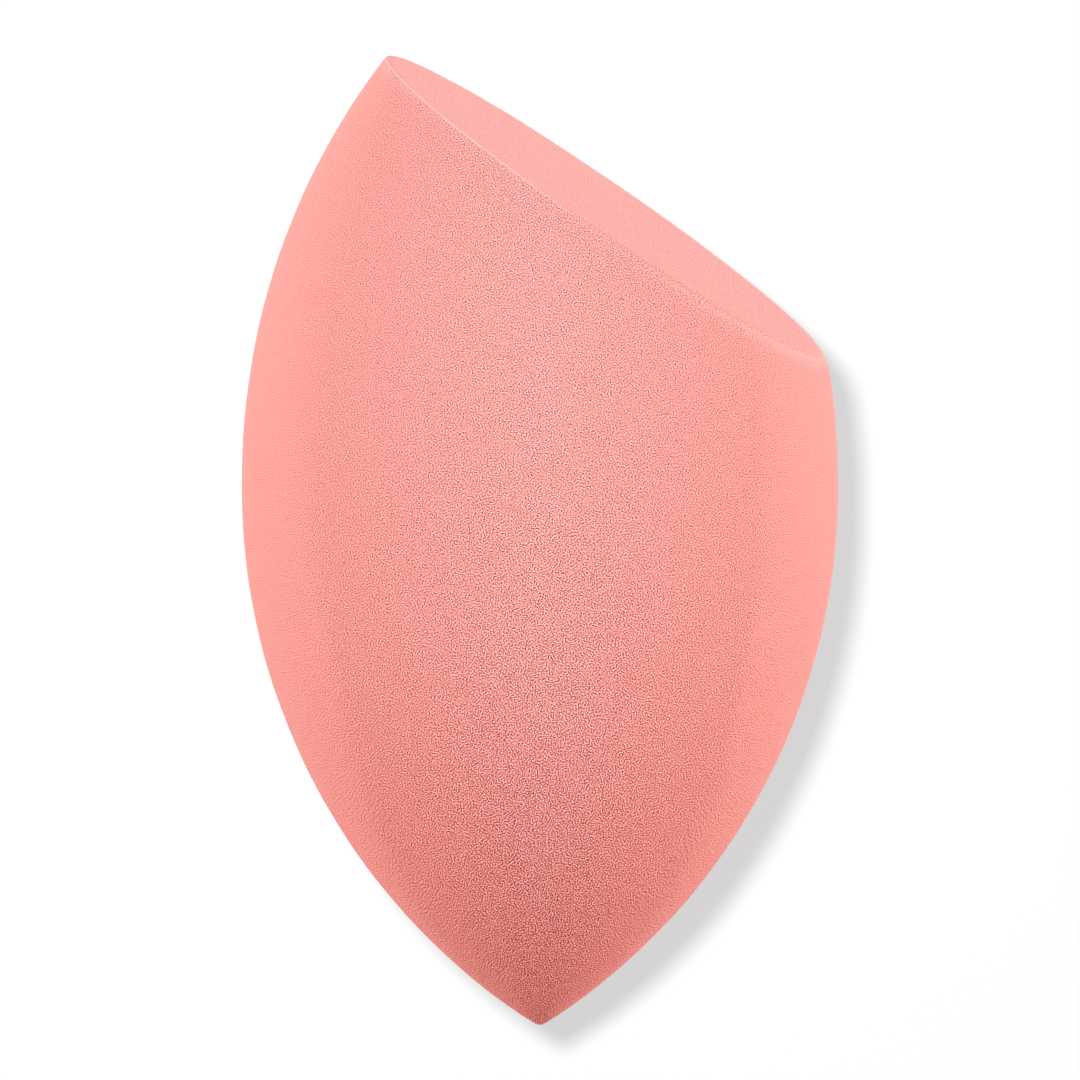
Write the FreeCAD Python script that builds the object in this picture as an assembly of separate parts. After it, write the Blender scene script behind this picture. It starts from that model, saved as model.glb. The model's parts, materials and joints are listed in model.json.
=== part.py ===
"""Makeup sponge: one moulding of soft, fine-celled foam.

The body is an almond, a solid of revolution whose flanks are two large arcs.  It runs to a blunt
little point at one end.  The other end is sliced off by one flat face that leans well off the long
axis, so the sponge has a point for small places, a rounded flank for wide ones and a flat for
pressing.

The part lies on its side, as it is put down on a table:
+Y runs along the long axis, from the point to the sliced end,
+X is the side that the slice looks towards,
+Z is up, away from the table.
The origin is on the small flat that the soft flank makes where it rests, straight below the middle
of the widest place.
"""

import FreeCAD, Part
import math
import os

from FreeCAD import Vector

# Driving dimensions, in millimetres and degrees
body_diameter = 40.0        # across the widest place of the almond
band_length = 0.7           # straight stretch of flank at the widest place
point_flank_radius = 42.7   # arc of the flank from the widest place to the point
slice_flank_radius = 46.2   # arc of the flank from the widest place to the sliced end
point_nose_radius = 0.8     # a moulded point is never quite sharp
slice_distance = 17.7       # from the middle of the widest place to the sliced face, square to it
slice_lean = 35.4           # degrees from the long axis to the sliced face's outward normal
slice_turn = 16.7           # degrees that the lean is turned about the long axis, from +X up to +Z
rim_radius = 0.4            # softened edge all round the sliced face
rest_depth = 0.5            # how far the foam gives where its flank lies on the table
overrun = 5.0               # how far a cutting block reaches past what it cuts

# Sizes that follow from them
body_radius = body_diameter / 2
axis_height = body_radius - rest_depth
widest_near_point = -band_length / 2
widest_near_slice = band_length / 2
axis_middle = Vector(0, 0, 0)
axis_direction = Vector(0, 1, 0)


def arc(centre, radius, first_angle, last_angle):
    """An arc in the plane of X and Y. Angles are in radians from +X, turning towards +Y."""
    def at(angle):
        return centre + Vector(radius * math.cos(angle), radius * math.sin(angle), 0)

    middle_angle = (first_angle + last_angle) / 2
    return Part.Arc(at(first_angle), at(middle_angle), at(last_angle)).toShape()


def almond():
    """The whole almond before it is sliced, turned about the long axis from half of its outline."""
    # Each flank's centre lies beyond the long axis, which is what gives the almond its points
    point_inset = point_flank_radius - body_radius
    slice_inset = slice_flank_radius - body_radius
    point_flank_centre = Vector(-point_inset, widest_near_point, 0)
    slice_flank_centre = Vector(-slice_inset, widest_near_slice, 0)

    # The nose is a small ball on the axis that runs smoothly into the flank
    nose_reach = point_flank_radius - point_nose_radius
    nose_angle = -math.acos(point_inset / nose_reach)
    nose_centre = Vector(0, widest_near_point + nose_reach * math.sin(nose_angle), 0)
    nose = arc(nose_centre, point_nose_radius, -math.pi / 2, nose_angle)
    point_flank = arc(point_flank_centre, point_flank_radius, nose_angle, 0)

    # The other flank would close to a point too, but the slice takes that end off
    slice_end_angle = math.acos(slice_inset / slice_flank_radius)
    slice_flank = arc(slice_flank_centre, slice_flank_radius, 0, slice_end_angle)

    band = Part.LineSegment(
        Vector(body_radius, widest_near_point, 0), Vector(body_radius, widest_near_slice, 0)
    ).toShape()
    far_point_y = widest_near_slice + slice_flank_radius * math.sin(slice_end_angle)
    near_point_y = nose_centre.y - point_nose_radius
    middle_line = Part.LineSegment(
        Vector(0, far_point_y, 0), Vector(0, near_point_y, 0)
    ).toShape()

    outline = Part.Wire([nose, point_flank, band, slice_flank, middle_line])
    return Part.Face(outline).revolve(axis_middle, axis_direction, 360)


def sliced(body):
    """The body with its end sliced off along the slanted face, and the rim of that face softened."""
    lean = math.radians(slice_lean)
    turn = math.radians(slice_turn)
    outward = Vector(
        math.sin(lean) * math.cos(turn), math.cos(lean), math.sin(lean) * math.sin(turn)
    )
    reach = body.BoundBox.DiagonalLength + overrun
    waste = Part.makeCylinder(reach, reach, outward * slice_distance, outward)
    cut_body = body.cut(waste)

    # The slice is the only flat face that the body has so far
    slice_face = next(face for face in cut_body.Faces if isinstance(face.Surface, Part.Plane))
    return cut_body.makeFillet(rim_radius, slice_face.OuterWire.Edges)


def rested(body):
    """The body lying on the table, its flank pressed flat by its own weight, on the plane z = 0."""
    box = body.BoundBox
    table = Part.makeBox(
        box.XLength + 2 * overrun,
        box.YLength + 2 * overrun,
        rest_depth + overrun,
        Vector(box.XMin - overrun, box.YMin - overrun, -body_radius - overrun),
    )
    lying = body.cut(table)
    lying.translate(Vector(0, 0, axis_height))
    return lying


def foam_sponge():
    """The one piece: the almond, sliced, lying on its flank."""
    solids = rested(sliced(almond())).Solids
    return solids[0]


os.makedirs("parts", exist_ok=True)
sponge = foam_sponge()
sponge.exportStep("parts/foam_sponge.step")

box = sponge.BoundBox
middle = sponge.CenterOfMass
print("foam_sponge valid", sponge.isValid(), "volume", round(sponge.Volume, 1))
print("box", [round(v, 3) for v in (box.XMin, box.YMin, box.ZMin, box.XMax, box.YMax, box.ZMax)])
print("centre of mass", [round(v, 3) for v in (middle.x, middle.y, middle.z)])
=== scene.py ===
import json
import math

import bpy
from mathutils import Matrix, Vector


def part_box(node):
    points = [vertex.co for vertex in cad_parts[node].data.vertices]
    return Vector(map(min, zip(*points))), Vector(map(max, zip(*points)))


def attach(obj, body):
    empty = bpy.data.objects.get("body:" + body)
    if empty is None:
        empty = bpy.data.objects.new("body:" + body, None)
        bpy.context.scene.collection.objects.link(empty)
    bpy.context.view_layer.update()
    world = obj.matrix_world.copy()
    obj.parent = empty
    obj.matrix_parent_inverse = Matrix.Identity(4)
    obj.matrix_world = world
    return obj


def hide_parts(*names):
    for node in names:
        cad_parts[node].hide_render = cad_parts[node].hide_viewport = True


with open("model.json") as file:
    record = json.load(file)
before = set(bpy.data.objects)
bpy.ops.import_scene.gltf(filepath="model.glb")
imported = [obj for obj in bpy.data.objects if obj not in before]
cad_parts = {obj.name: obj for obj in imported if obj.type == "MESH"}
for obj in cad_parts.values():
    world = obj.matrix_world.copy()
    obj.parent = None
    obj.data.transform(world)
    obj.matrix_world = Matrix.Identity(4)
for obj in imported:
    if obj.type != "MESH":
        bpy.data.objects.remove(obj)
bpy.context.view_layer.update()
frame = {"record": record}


# The camera
# It looks straight down on the sponge as it lies on the table, with the point towards the bottom
# of the picture. A long lens keeps the outline close to a true plan view.
MM = 0.001
LENS = 200.0
SENSOR_WIDTH = 36.0
CAMERA_ABOVE_AXIS = 403 * MM
CAMERA_TOWARDS_POINT = 3.8 * MM

sponge_low, sponge_high = (Vector(corner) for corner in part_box("foam_sponge"))
body_radius = (sponge_high.x - sponge_low.x) / 2
axis_height = sponge_high.z - body_radius

camera_data = bpy.data.cameras.new("camera")
camera_data.lens = LENS
camera_data.sensor_width = SENSOR_WIDTH
camera = bpy.data.objects.new("camera", camera_data)
camera.location = (0, -CAMERA_TOWARDS_POINT, axis_height + CAMERA_ABOVE_AXIS)
bpy.context.scene.collection.objects.link(camera)
bpy.context.scene.camera = camera


# The foam sponge
# One block of fine, open-celled foam, moulded to a pointed almond and then sliced once, which
# leaves a flat face with a crisp rim. It lies on its flank, and the soft foam gives a little there.

# Its form: two flanks of large radius, a nose, a cut with a rim, and the flat where it rests
POINT_FLANK_RADIUS = 42.7 * MM
SLICE_FLANK_RADIUS = 46.2 * MM
BAND_LENGTH = 0.7 * MM
NOSE_SOFTNESS = 0.15 * MM
CUT_TURNED_BY = Vector((-0.0033, 0.0022, -0.01))
CUT_FURTHER_BY = 0.22 * MM
CRISP_RIM = 0.25 * MM
WORN_RIM = 1.5 * MM
RIM_WEAR_FROM = -2 * MM
RIM_WEAR_TO = 12 * MM
REST_SOFTNESS = 1.2 * MM

# The grid that is blown up from the heart of the sponge to its skin, and the grid's flat map
HEART = Vector((0, -3 * MM, 0))
SEED_RADIUS = 12 * MM
LENGTHWISE_STRETCH = 1.4
GRID_ACROSS = 110
GRID_ALONG = 165
ROUNDS_TO_THE_SKIN = 14
ROUNDS_AFTER_DRAWING_IN = 8
RIM_DRAW_SHARE = 0.6
RIM_DRAW_REACH = 1.6 * MM
MAP_COLUMNS = 3
MAP_ROWS = 2
PANEL_FILL = 0.98

# The unevenness of its skin
SWELL_SIZE = 5 * MM
SWELL_HEIGHT = 0.06 * MM
TOOTH_SIZE = 0.8 * MM
TOOTH_HEIGHT = 0.03 * MM

# Its colours, from the sliced end to the point, with painted shade at the point, round the flank and
# on the cut
SLICED_END_COLOUR = (0.812, 0.356, 0.329, 1)
# Painted shade: the deeper, redder colour at the point
POINT_SHADED_COLOUR = (0.748, 0.161, 0.131, 1)
POINT_CURVE = 2.8
POINT_SHADE_EASING_AT_LIMB = 0.25
POINT_BLUR = 1.5 * MM
UNDERSIDE_STEP = (0, 0.6)
FLANK_TINT = (1, 0.81, 0.77, 1)
FLANK_EDGE = 1 * MM
SLICE_TINT = (1, 0.85, 0.857, 1)
SLICE_EDGE = 0.3 * MM

# Its cells: how far apart, how even, how deep the painted shade in the pits and how pale the painted
# highlights on the walls
CELL_PITCH = 0.16 * MM
CELL_EVENNESS = 1.4
CELL_SPREAD = 0.16
CELL_PEAKINESS = 0.7
CLUMP_SIZE = 0.3 * MM
CLUMPING = 0.7
CELL_SHADE_DEPTH = (0.29, 0.72, 0.8)
DARKEST_PIT_SHADE = (0.33, 0.02, 0.02)
PALEST_WALL_HIGHLIGHT = (1.5, 2.5, 2.6)
CELL_DEPTH = 0.02 * MM
CELL_RELIEF = 0.2

# How strong the cells and their painted shade and highlights are in each place
SLICED_END_CELLS_AND_SHADE = 0.85
POINT_CELLS_AND_SHADE = 4.0
FLANK_CELLS_AND_SHADE = 0.48
ROUND_THE_FLANK = (0.1, 0.8)
SLICE_CELLS_AND_SHADE = 0.85

# Its pinpricks, with painted shade in them, and the painted highlight on its rim
PINPRICK_SPACING = 0.85 * MM
PINPRICK_RADIUS = 0.07 * MM
PINPRICK_SHADE_TINT = (0.70, 0.35, 0.32, 1)
RIM_HIGHLIGHT_WIDTH = 0.09 * MM
RIM_HIGHLIGHT_STRENGTH = 0.75
RIM_HIGHLIGHT_COLOUR = (1.0, 0.66, 0.62, 1)
RIM_HIGHLIGHT_FADES = (-3 * MM, 5 * MM)

# Its dry, velvety finish
FOAM_ROUGHNESS = 0.92
ROUGHNESS_SWING = 0.02
FOAM_GLOSS = 0.1
SHEEN_WEIGHT = 0.35
SHEEN_ROUGHNESS = 0.5
SHEEN_TINT = (1.0, 0.6, 0.54, 1)

sliced_face = next(m for m in frame["record"]["mounts"] if m["name"] == "sliced_face")
slice_normal = Vector(sliced_face["axis"])
slice_distance = slice_normal.dot(Vector(sliced_face["pos_m"]) - Vector((0, 0, axis_height)))
# The photographed cut is a touch steeper, and runs a hair further out, than the plain part's
slice_distance = slice_distance + CUT_FURTHER_BY
slice_normal = (slice_normal + CUT_TURNED_BY).normalized()


class Field:
    """What a socket gives out, so that the sums of a node tree can be written as sums."""

    def __init__(self, socket):
        self.socket = socket
        self.tree = socket.id_data

    def __add__(self, other):
        return maths("ADD", self, other)

    def __radd__(self, other):
        return maths("ADD", other, self)

    def __sub__(self, other):
        return maths("SUBTRACT", self, other)

    def __rsub__(self, other):
        return maths("SUBTRACT", other, self)

    def __mul__(self, other):
        return maths("MULTIPLY", self, other)

    def __rmul__(self, other):
        return maths("MULTIPLY", other, self)

    def __truediv__(self, other):
        return maths("DIVIDE", self, other)

    def __rtruediv__(self, other):
        return maths("DIVIDE", other, self)

    def __neg__(self):
        return maths("MULTIPLY", self, -1)


def plug(tree, value, socket):
    """Gives a socket its value: what another socket gives out, or a plain number, vector or word."""
    if isinstance(value, Field):
        tree.links.new(value.socket, socket)
    else:
        socket.default_value = value


def maths(operation, *terms):
    """Arithmetic on numbers, where at least one of the terms is a Field."""
    tree = next(term.tree for term in terms if isinstance(term, Field))
    step = tree.nodes.new("ShaderNodeMath")
    step.operation = operation
    for term, socket in zip(terms, step.inputs):
        plug(tree, term, socket)
    return Field(step.outputs[0])


def vectors(operation, *terms):
    """Vector maths. It gives a number for a length or a dot product, and a vector for the rest."""
    tree = next(term.tree for term in terms if isinstance(term, Field))
    step = tree.nodes.new("ShaderNodeVectorMath")
    step.operation = operation
    sockets = [socket for socket in step.inputs if socket.enabled]
    for term, socket in zip(terms, sockets):
        plug(tree, term, socket)
    return Field(next(socket for socket in step.outputs if socket.enabled))


def add_node(tree, kind, settings=None, **inputs):
    """A node with its settings, and with its inputs by name, where _ stands for a space."""
    step = tree.nodes.new(kind)
    for name, value in (settings or {}).items():
        setattr(step, name, value)
    for name, value in inputs.items():
        plug(tree, value, step.inputs[name.replace("_", " ")])
    return step


def first(step):
    """A node's first output that is in use."""
    return Field(next(socket for socket in step.outputs if socket.enabled))


def combined(tree, x, y, z):
    """A vector from its three numbers."""
    return first(add_node(tree, "ShaderNodeCombineXYZ", X=x, Y=y, Z=z))


def taken_apart(vector):
    """The three numbers of a vector."""
    step = add_node(vector.tree, "ShaderNodeSeparateXYZ", Vector=vector)
    return [Field(socket) for socket in step.outputs]


def smooth_step(value, low, high):
    """Nothing below low, one above high, with a smooth ramp between them."""
    return first(add_node(
        value.tree, "ShaderNodeMapRange", {"interpolation_type": "SMOOTHSTEP"},
        Value=value, From_Min=low, From_Max=high,
    ))


def noise(place, size, detail=0.0):
    """A soft unevenness about 0.5, whose lumps are about as large as size."""
    cloud = add_node(
        place.tree, "ShaderNodeTexNoise", Vector=place, Scale=1 / size, Detail=detail
    )
    return first(cloud)


def mixed(tree, one, other, share):
    """One colour with a share of another in it."""
    return first(add_node(
        tree, "ShaderNodeMix", {"data_type": "RGBA"}, Factor=share, A=one, B=other
    ))


def tinted(tree, colour, tint, share):
    """A colour that is multiplied by a share of a tint."""
    settings = {"data_type": "RGBA", "blend_type": "MULTIPLY", "clamp_factor": False}
    return first(add_node(tree, "ShaderNodeMix", settings, Factor=share, A=colour, B=tint))


def foam_shape_tree(sizes):
    """The almond's geometry tree. Each entry of sizes becomes an input of the same name."""
    tree = bpy.data.node_groups.new("foam_almond", "GeometryNodeTree")
    tree.is_modifier = True
    kinds = {bpy.types.Material: "Material", Vector: "Vector", int: "Int", float: "Float"}
    for name, value in sizes.items():
        kind = next(word for type_of, word in kinds.items() if isinstance(value, type_of))
        tree.interface.new_socket(name, in_out="INPUT", socket_type="NodeSocket" + kind)
    tree.interface.new_socket("Sponge", in_out="OUTPUT", socket_type="NodeSocketGeometry")
    given = tree.nodes.new("NodeGroupInput")
    size = {name: Field(given.outputs[name]) for name in sizes}

    def sides_of(place):
        """How far a place is outside the flanks, outside the slice and below the table."""
        across_x, along, across_z = taken_apart(place)
        # The nose softness keeps the radius above zero, which rounds off the point
        radius = vectors("LENGTH", combined(tree, across_x, across_z, size["Nose Softness"]))
        half_band = size["Band Length"] / 2
        outside = []
        for flank, beyond in (
            (size["Point Flank Radius"], maths("MINIMUM", along + half_band, 0)),
            (size["Slice Flank Radius"], maths("MAXIMUM", along - half_band, 0)),
        ):
            from_centre = combined(tree, radius + (flank - size["Body Radius"]), beyond, 0)
            outside.append(vectors("LENGTH", from_centre) - flank)
        flanks = maths("MAXIMUM", *outside)
        sliced = vectors("DOT_PRODUCT", place, size["Slice Normal"]) - size["Slice Distance"]
        below = -across_z - size["Axis Height"]
        return flanks, sliced, below

    def pushed_out(geometry, rounds):
        """Every point moved away from the heart until it meets the surface of the foam."""
        enter = tree.nodes.new("GeometryNodeRepeatInput")
        leave = tree.nodes.new("GeometryNodeRepeatOutput")
        enter.pair_with_output(leave)
        enter.inputs["Iterations"].default_value = rounds
        plug(tree, geometry, enter.inputs["Geometry"])
        place = first(tree.nodes.new("GeometryNodeInputPosition"))
        flanks, sliced, below = sides_of(place)
        # The rim is crisp at the near end of the slice and worn soft at the far end
        across, _, _ = taken_apart(place)
        wear = smooth_step(across, size["Rim Wear From"], size["Rim Wear To"])
        rim_softness = size["Crisp Rim"] + wear * (size["Worn Rim"] - size["Crisp Rim"])
        body = maths("SMOOTH_MAX", flanks, sliced, rim_softness)
        gap = maths("SMOOTH_MAX", body, below, size["Rest Softness"])
        outward = vectors("NORMALIZE", vectors("SUBTRACT", place, size["Heart"]))
        moved = add_node(
            tree, "GeometryNodeSetPosition",
            Geometry=Field(enter.outputs["Geometry"]), Offset=vectors("SCALE", outward, -gap),
        )
        plug(tree, first(moved), leave.inputs["Geometry"])
        return Field(leave.outputs["Geometry"])

    # It starts as the grid of a cube
    cube = add_node(
        tree, "GeometryNodeMeshCube", Size=(2, 2, 2),
        Vertices_X=size["Grid Across"],
        Vertices_Y=size["Grid Along"],
        Vertices_Z=size["Grid Across"],
    )
    place = first(tree.nodes.new("GeometryNodeInputPosition"))

    # Each side of the cube is one panel of the flat map that the colours are baked through
    normal = first(tree.nodes.new("GeometryNodeInputNormal"))
    facing = first(add_node(
        tree, "GeometryNodeFieldOnDomain", {"data_type": "FLOAT_VECTOR", "domain": "FACE"},
        Value=normal,
    ))
    x_way, y_way, z_way = Vector((1, 0, 0)), Vector((0, 1, 0)), Vector((0, 0, 1))
    sides = (x_way, y_way, z_way, -x_way, -y_way, -z_way)
    lengthwise = (y_way, z_way, y_way)
    flat_map = combined(tree, 0, 0, 0)
    for panel, side in enumerate(sides):
        row, column = divmod(panel, MAP_COLUMNS)
        along = lengthwise[column]
        reach_across = vectors("DOT_PRODUCT", place, along.cross(side)) * (PANEL_FILL / 2)
        reach_along = vectors("DOT_PRODUCT", place, along) * (PANEL_FILL / 2)
        map_x = (column + 0.5 + reach_across) / MAP_COLUMNS
        map_y = (row + 0.5 + reach_along) / MAP_ROWS
        spot = combined(tree, map_x, map_y, 0)
        on_side = maths("GREATER_THAN", vectors("DOT_PRODUCT", facing, side), 0.5)
        flat_map = vectors("ADD", flat_map, vectors("SCALE", spot, on_side))
    mapped = add_node(
        tree, "GeometryNodeStoreNamedAttribute", {"data_type": "FLOAT2", "domain": "CORNER"},
        Geometry=Field(cube.outputs["Mesh"]), Name="OFBake", Value=flat_map,
    )

    # The cube is bent into a small stretched ball round the heart. Its sides reach from -1 to 1, and
    # the tangent of up to an eighth of a turn spreads the grid evenly over the ball.
    even = vectors("NORMALIZE", vectors("TANGENT", vectors("SCALE", place, math.pi / 4)))
    ball = vectors("MULTIPLY", even, size["Seed Ball"])
    seed = add_node(
        tree, "GeometryNodeSetPosition",
        Geometry=first(mapped), Position=vectors("ADD", ball, size["Heart"]),
    )
    surface = pushed_out(first(seed), ROUNDS_TO_THE_SKIN)

    # The grid is drawn in towards the rim, so that the rim is round and not jagged
    flanks, sliced, _ = sides_of(place)
    from_rim = sliced - flanks
    nearness = maths("EXPONENT", -maths("POWER", from_rim / size["Rim Draw Reach"], 2))
    pull = -from_rim * nearness * size["Rim Draw Share"]
    drawn = add_node(
        tree, "GeometryNodeSetPosition",
        Geometry=surface, Offset=vectors("SCALE", size["Slice Normal"], pull),
    )
    surface = pushed_out(first(drawn), ROUNDS_AFTER_DRAWING_IN)

    # How far each point is from the rim, for the painted highlight along it and for where the cut face
    # starts
    flanks, sliced, _ = sides_of(place)
    marked = add_node(
        tree, "GeometryNodeStoreNamedAttribute", {"data_type": "FLOAT", "domain": "POINT"},
        Geometry=surface, Name="from_rim", Value=sliced - flanks,
    )

    # Soft foam is never quite true: a slow swell, and the tooth of the moulded skin
    swell = (noise(place, size["Swell Size"]) - 0.5) * size["Swell Height"]
    tooth = (noise(place, size["Tooth Size"], detail=1) - 0.5) * size["Tooth Height"]
    outward = first(tree.nodes.new("GeometryNodeInputNormal"))
    relief = add_node(
        tree, "GeometryNodeSetPosition",
        Geometry=first(marked), Offset=vectors("SCALE", outward, swell + tooth),
    )

    # No point goes below the table. The metre to each side is only there to be out of the way.
    lowest = combined(tree, -1, -1, -size["Axis Height"])
    on_table = vectors("MAXIMUM", place, lowest)
    surface = first(add_node(
        tree, "GeometryNodeSetPosition", Geometry=first(relief), Position=on_table
    ))

    smooth = add_node(tree, "GeometryNodeSetShadeSmooth", Geometry=surface)
    raised = add_node(
        tree, "GeometryNodeTransform",
        Geometry=first(smooth), Translation=combined(tree, 0, 0, size["Axis Height"]),
    )
    real = add_node(tree, "GeometryNodeRealizeInstances", Geometry=first(raised))
    finished = add_node(
        tree, "GeometryNodeSetMaterial", Geometry=first(real), Material=size["Foam"]
    )
    plug(tree, first(finished), tree.nodes.new("NodeGroupOutput").inputs["Sponge"])
    return tree


def laid_flat(tree, place, facing):
    """A place as it is seen square on, from whichever side of a box round the sponge it faces most."""
    x, y, z = taken_apart(place)
    facing_x, facing_y, facing_z = (maths("ABSOLUTE", number) for number in taken_apart(facing))
    top = maths("GREATER_THAN", facing_z, maths("MAXIMUM", facing_x, facing_y))
    side = maths("GREATER_THAN", facing_x, maths("MAXIMUM", facing_y, facing_z))
    end = maths("MAXIMUM", 1 - top - side, 0)
    return combined(tree, top * x + side * y + end * z, top * y + side * z + end * x, 0)


def foam_material():
    """Coral foam: small open cells with thin walls, painted shade in the pits and towards the point,
    painted highlights on the walls and rim, velvety where seen edge-on.
    """
    foam = bpy.data.materials.new("coral_foam")
    foam.use_nodes = True
    tree = foam.node_tree
    shader = tree.nodes["Principled BSDF"]
    where = tree.nodes.new("ShaderNodeTexCoord")
    place = Field(where.outputs["Object"])
    aside, along, up = taken_apart(place)

    # How far along the sponge, how far round its flank, and where the cut face is. The blur keeps
    # the way round the flank from jumping where the axis comes out at the point.
    towards_point = (sponge_high.y - along) / (sponge_high.y - sponge_low.y)
    from_axis = vectors("LENGTH", combined(tree, aside, POINT_BLUR, up - axis_height))
    underneath = smooth_step((axis_height - up) / from_axis, *UNDERSIDE_STEP)
    round_flank = maths("MAXIMUM", maths("ABSOLUTE", aside / from_axis), underneath)
    rim_mark = add_node(tree, "ShaderNodeAttribute", {"attribute_name": "from_rim"})
    from_rim = Field(rim_mark.outputs["Fac"])
    on_slice = smooth_step(from_rim, 0, SLICE_EDGE)

    # Painted shade: the colour grows deeper and redder towards the point, where less light falls, and
    # eases off at the point's limb. Round the flank the colour is a little deeper as well.
    at_point = maths("POWER", towards_point, POINT_CURVE)
    painted_point_shade = at_point * (1 - at_point * round_flank * POINT_SHADE_EASING_AT_LIMB)
    colour = mixed(tree, SLICED_END_COLOUR, POINT_SHADED_COLOUR, painted_point_shade)
    on_flank = 1 - smooth_step(from_rim, -FLANK_EDGE, 0)
    colour = tinted(tree, colour, FLANK_TINT, round_flank * on_flank)
    colour = tinted(tree, colour, SLICE_TINT, on_slice)

    # The foam's cells, with painted shade in the pits and painted highlights on the walls, a little
    # clumped
    cells = add_node(
        tree, "ShaderNodeTexGabor", {"gabor_type": "2D"},
        Vector=laid_flat(tree, place, Field(where.outputs["Normal"])),
        Scale=1 / (CELL_PITCH * CELL_EVENNESS), Frequency=CELL_EVENNESS, Anisotropy=0.0,
    )
    wall = (Field(cells.outputs["Value"]) - 0.5) / CELL_SPREAD
    wall = wall * maths("POWER", maths("ABSOLUTE", wall), CELL_PEAKINESS)
    wall = wall + (noise(place, CLUMP_SIZE, detail=2) - 0.5) * CLUMPING

    # The cells and their painted shade and highlights are stronger along the top and towards the
    # point, where the light grazes, and weaker round the flank
    cell_and_shade_strength = SLICED_END_CELLS_AND_SHADE + at_point * (POINT_CELLS_AND_SHADE - SLICED_END_CELLS_AND_SHADE)
    cells_and_shade_fading = smooth_step(round_flank, *ROUND_THE_FLANK) * (1 - FLANK_CELLS_AND_SHADE)
    cell_and_shade_strength = cell_and_shade_strength * (1 - cells_and_shade_fading)
    cell_and_shade_strength = cell_and_shade_strength + on_slice * (SLICE_CELLS_AND_SHADE - cell_and_shade_strength)
    grain = wall * cell_and_shade_strength
    # Painted shade darkens the pits and painted highlights pale the walls; the same grain also raises
    # the bump below
    cell_shade = vectors("MULTIPLY_ADD", combined(tree, grain, grain, grain), CELL_SHADE_DEPTH, (1, 1, 1))
    cell_shade = vectors("MINIMUM", vectors("MAXIMUM", cell_shade, DARKEST_PIT_SHADE), PALEST_WALL_HIGHLIGHT)
    colour = vectors("MULTIPLY", colour, cell_shade)

    # Here and there a bubble has left a pinprick, darkened with painted shade
    bubbles = add_node(tree, "ShaderNodeTexVoronoi", Vector=place, Scale=1 / PINPRICK_SPACING)
    from_bubble = Field(bubbles.outputs["Distance"]) * PINPRICK_SPACING
    pinprick = 1 - smooth_step(from_bubble, PINPRICK_RADIUS / 2, PINPRICK_RADIUS)
    colour = tinted(tree, colour, PINPRICK_SHADE_TINT, pinprick)

    # A painted highlight runs along the rim where the rim is crisp and catches the light
    rim = maths("EXPONENT", -maths("POWER", from_rim / RIM_HIGHLIGHT_WIDTH, 2))
    crispness = 1 - smooth_step(aside, *RIM_HIGHLIGHT_FADES)
    colour = mixed(tree, colour, RIM_HIGHLIGHT_COLOUR, rim * crispness * RIM_HIGHLIGHT_STRENGTH)
    plug(tree, colour, shader.inputs["Base Color"])

    # The finish is dry and velvety, and the pits are a touch rougher than the walls
    plug(tree, FOAM_ROUGHNESS - wall * ROUGHNESS_SWING, shader.inputs["Roughness"])
    relief = grain * CELL_RELIEF - pinprick
    bump = add_node(tree, "ShaderNodeBump", Height=relief, Distance=CELL_DEPTH)
    plug(tree, first(bump), shader.inputs["Normal"])
    shader.inputs["Specular IOR Level"].default_value = FOAM_GLOSS
    shader.inputs["Sheen Weight"].default_value = SHEEN_WEIGHT
    shader.inputs["Sheen Roughness"].default_value = SHEEN_ROUGHNESS
    shader.inputs["Sheen Tint"].default_value = SHEEN_TINT
    return foam


foam_sizes = {
    "Body Radius": body_radius,
    "Band Length": BAND_LENGTH,
    "Point Flank Radius": POINT_FLANK_RADIUS,
    "Slice Flank Radius": SLICE_FLANK_RADIUS,
    "Nose Softness": NOSE_SOFTNESS,
    "Slice Normal": slice_normal,
    "Slice Distance": slice_distance,
    "Crisp Rim": CRISP_RIM,
    "Worn Rim": WORN_RIM,
    "Rim Wear From": RIM_WEAR_FROM,
    "Rim Wear To": RIM_WEAR_TO,
    "Axis Height": axis_height,
    "Rest Softness": REST_SOFTNESS,
    "Heart": HEART,
    "Seed Ball": Vector((1, LENGTHWISE_STRETCH, 1)) * SEED_RADIUS,
    "Grid Across": GRID_ACROSS,
    "Grid Along": GRID_ALONG,
    "Rim Draw Share": RIM_DRAW_SHARE,
    "Rim Draw Reach": RIM_DRAW_REACH,
    "Swell Size": SWELL_SIZE,
    "Swell Height": SWELL_HEIGHT,
    "Tooth Size": TOOTH_SIZE,
    "Tooth Height": TOOTH_HEIGHT,
    "Foam": foam_material(),
}
shape_tree = foam_shape_tree(foam_sizes)
holder = bpy.data.objects.new("foam_holder", bpy.data.meshes.new("foam_holder"))
bpy.context.scene.collection.objects.link(holder)
shaping = holder.modifiers.new("shape", "NODES")
shaping.node_group = shape_tree
for item in shape_tree.interface.items_tree:
    if item.in_out == "INPUT":
        shaping[item.identifier] = foam_sizes[item.name]
shaped = holder.evaluated_get(bpy.context.evaluated_depsgraph_get())
sponge_mesh = bpy.data.meshes.new_from_object(shaped)
bpy.data.objects.remove(holder)
# The holder's own slot comes first and is empty
sponge_mesh.materials.pop(index=0)

sponge = bpy.data.objects.new("sponge", sponge_mesh)
bpy.context.scene.collection.objects.link(sponge)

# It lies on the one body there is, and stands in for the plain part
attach(sponge, "root")
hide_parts("foam_sponge")


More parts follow.
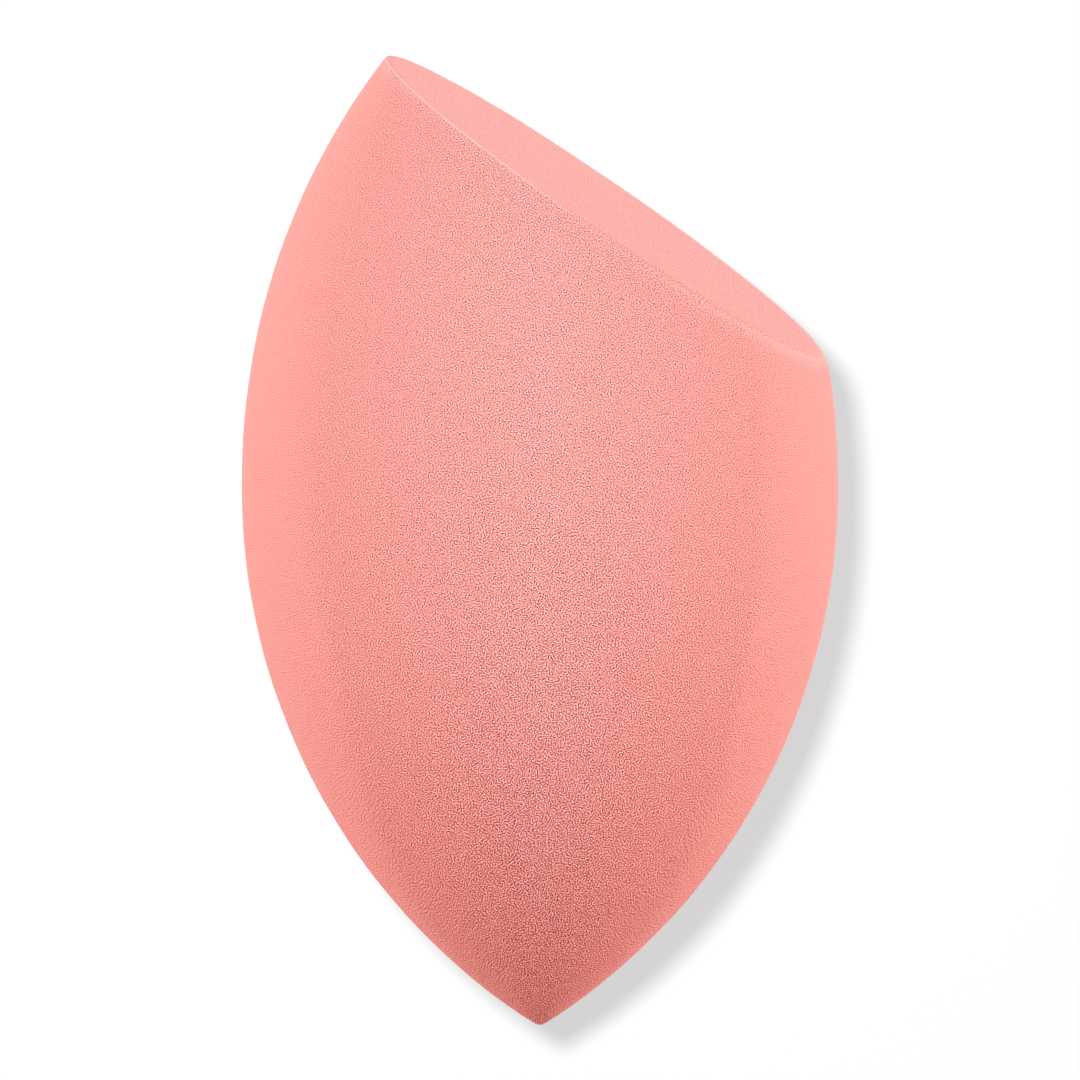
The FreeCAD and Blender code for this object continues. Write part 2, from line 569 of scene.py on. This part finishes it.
# The table
# A flat sheet of white card with a fine matt surface, a good deal larger than the picture. It is
# dark to the lamps and glows by itself, so that it shows as plain white with one soft shadow on it.
TABLE_HALF_WIDTH = 1.0
TABLE_COLOUR = (0.08, 0.08, 0.08, 1)
TABLE_GLOW = 0.575
TABLE_GLOW_FAR_OFF = 0.95
LAMPLIT_REACH = (60 * MM, 200 * MM)
FIBRE_SIZE = 0.5 * MM
FIBRE_HEIGHT = 0.005 * MM
SMOOTHEST_CARD = 0.8
CARD_ROUGHNESS_SWING = 0.1

table_mesh = bpy.data.meshes.new("table")
table_mesh.from_pydata(
    [
        (-TABLE_HALF_WIDTH, -TABLE_HALF_WIDTH, 0), (TABLE_HALF_WIDTH, -TABLE_HALF_WIDTH, 0),
        (TABLE_HALF_WIDTH, TABLE_HALF_WIDTH, 0), (-TABLE_HALF_WIDTH, TABLE_HALF_WIDTH, 0),
    ],
    [], [(0, 1, 2, 3)],
)
table = bpy.data.objects.new("table", table_mesh)
bpy.context.scene.collection.objects.link(table)


def seen_directly(tree):
    """One for rays from the camera, a mirror or glass, nothing for the rays that light things."""
    path = tree.nodes.new("ShaderNodeLightPath")
    kinds = ("Is Camera Ray", "Is Glossy Ray", "Is Transmission Ray")
    by_camera, in_mirror, through_glass = (Field(path.outputs[kind]) for kind in kinds)
    return maths("MAXIMUM", maths("MAXIMUM", by_camera, in_mirror), through_glass)


def white_table_material():
    """White card, with a little glow of its own so that it photographs as white."""
    card = bpy.data.materials.new("white_card")
    card.use_nodes = True
    tree = card.node_tree
    shader = tree.nodes["Principled BSDF"]
    place = Field(tree.nodes.new("ShaderNodeTexCoord").outputs["Object"])
    fibres = noise(place, FIBRE_SIZE, detail=3)
    shader.inputs["Base Color"].default_value = TABLE_COLOUR
    plug(tree, SMOOTHEST_CARD + fibres * CARD_ROUGHNESS_SWING, shader.inputs["Roughness"])
    bump = add_node(tree, "ShaderNodeBump", Height=fibres, Distance=FIBRE_HEIGHT)
    plug(tree, first(bump), shader.inputs["Normal"])
    shader.inputs["Specular IOR Level"].default_value = 0
    shader.inputs["Emission Color"].default_value = (1, 1, 1, 1)
    far_off = smooth_step(vectors("LENGTH", place), *LAMPLIT_REACH)
    glow = TABLE_GLOW + far_off * (TABLE_GLOW_FAR_OFF - TABLE_GLOW)
    plug(tree, seen_directly(tree) * glow, shader.inputs["Emission Strength"])
    return card


table_mesh.materials.append(white_table_material())


# The light
# A small round lamp hangs over the table, up and to the left, and gives the soft-edged shadow. Only
# the table receives it. The sponge has a wide lamp from beyond the slice, a weaker one from the
# point's end, what a white table would throw back up at both flanks, and an even light all round.
LAMP_PLACE = Vector((-32, 26.5, 399)) * MM
LAMP_WIDTH = 33.6 * MM
LAMP_SHARE = 4.6
SIDE_SPREAD = math.radians(50)
ALL_ROUND_LIGHT = 0.32


def hang(light, place, turn):
    """A light in the scene, in its place and turned as it should be."""
    holder = bpy.data.objects.new(light.name, light)
    holder.location = place
    holder.rotation_euler = turn
    bpy.context.scene.collection.objects.link(holder)
    return holder


def side_lamp(name, turn, height, share):
    """A far lamp to one side, at a turn from +X towards +Y and a height over the table, in degrees.

    Its share is how much of the light that white would need to look white comes from it. It is too
    wide to leave a shadow.
    """
    light = bpy.data.lights.new(name, "SUN")
    light.angle = SIDE_SPREAD
    light.energy = share * math.pi
    light.use_shadow = False
    turn = math.radians(turn)
    towards = Vector((math.cos(turn), math.sin(turn), math.tan(math.radians(height))))
    hang(light, (0, 0, 0), towards.to_track_quat("Z", "Y").to_euler())


round_lamp = bpy.data.lights.new("over_table", "AREA")
round_lamp.shape = "DISK"
round_lamp.size = LAMP_WIDTH
# For one share straight below it, a small lamp's power goes by the square of its height
round_lamp.energy = LAMP_SHARE * (math.pi * LAMP_PLACE.z) ** 2
table_alone = bpy.data.collections.new("table_alone")
table_alone.objects.link(table)
over_table = hang(round_lamp, LAMP_PLACE, (0, 0, 0))
over_table.light_linking.receiver_collection = table_alone

side_lamp("beyond_the_slice", turn=90, height=60, share=0.82)
side_lamp("before_the_point", turn=-90, height=20, share=0.34)
side_lamp("bounce_right", turn=0, height=-20, share=0.89)
side_lamp("bounce_left", turn=180, height=-20, share=0.79)

world = bpy.data.worlds.new("tent")
world.use_nodes = True
background = world.node_tree.nodes["Background"]
background.inputs["Color"].default_value = (1, 1, 1, 1)
strength = ALL_ROUND_LIGHT + seen_directly(world.node_tree) * (1 - ALL_ROUND_LIGHT)
plug(world.node_tree, strength, background.inputs["Strength"])
bpy.context.scene.world = world
bpy.context.scene.view_settings.view_transform = "Standard"
